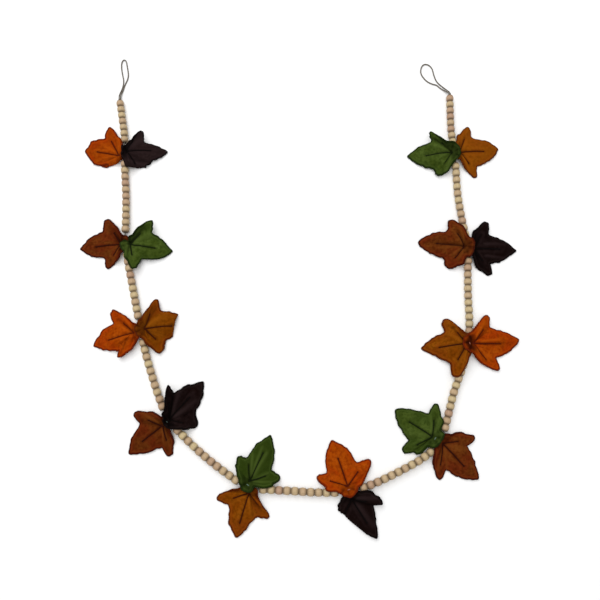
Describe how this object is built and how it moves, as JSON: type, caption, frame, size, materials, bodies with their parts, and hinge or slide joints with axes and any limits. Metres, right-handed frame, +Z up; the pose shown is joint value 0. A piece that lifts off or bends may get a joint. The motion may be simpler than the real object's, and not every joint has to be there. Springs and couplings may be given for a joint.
{
  "type": "wool leaf bead garland",
  "caption": "Garland of lobed wool felt leaves sewn in overlapping pairs along a twine of wooden beads, laid out in an open U, with a hanging loop at each end.",
  "frame": {"origin": "centre of the laid-out garland's footprint, on the surface that it lies on", "axes": "+X to the right and +Y towards the two loops, as seen from above, and +Z up off the surface"},
  "size_m": [0.7355, 0.8149, 0.0295],
  "materials": {
    "felt_orange": "matte",
    "felt_rust": "matte",
    "felt_ochre": "matte",
    "felt_green": "matte",
    "felt_plum": "matte",
    "wood": "smooth, unvarnished",
    "twine": "matte"
  },
  "bodies": {
    "root": {"twine": "twine", "loop_left": "twine", "loop_right": "twine", "knot_left": "twine", "knot_right": "twine", "beads_01": "wood", "beads_02": "wood", "beads_03": "wood", "beads_04": "wood", "beads_05": "wood", "beads_06": "wood", "beads_07": "wood", "beads_08": "wood", "beads_09": "wood", "beads_10": "wood", "beads_11": "wood", "leaf_01_back": "felt_orange", "leaf_01_front": "felt_plum", "leaf_02_back": "felt_rust", "leaf_02_front": "felt_green", "leaf_03_back": "felt_orange", "leaf_03_front": "felt_ochre", "leaf_04_back": "felt_rust", "leaf_04_front": "felt_plum", "leaf_05_back": "felt_ochre", "leaf_05_front": "felt_green", "leaf_06_back": "felt_plum", "leaf_06_front": "felt_orange", "leaf_07_back": "felt_rust", "leaf_07_front": "felt_green", "leaf_08_back": "felt_ochre", "leaf_08_front": "felt_orange", "leaf_09_back": "felt_plum", "leaf_09_front": "felt_rust", "leaf_10_back": "felt_ochre", "leaf_10_front": "felt_green"}
  },
  "joints": []
}
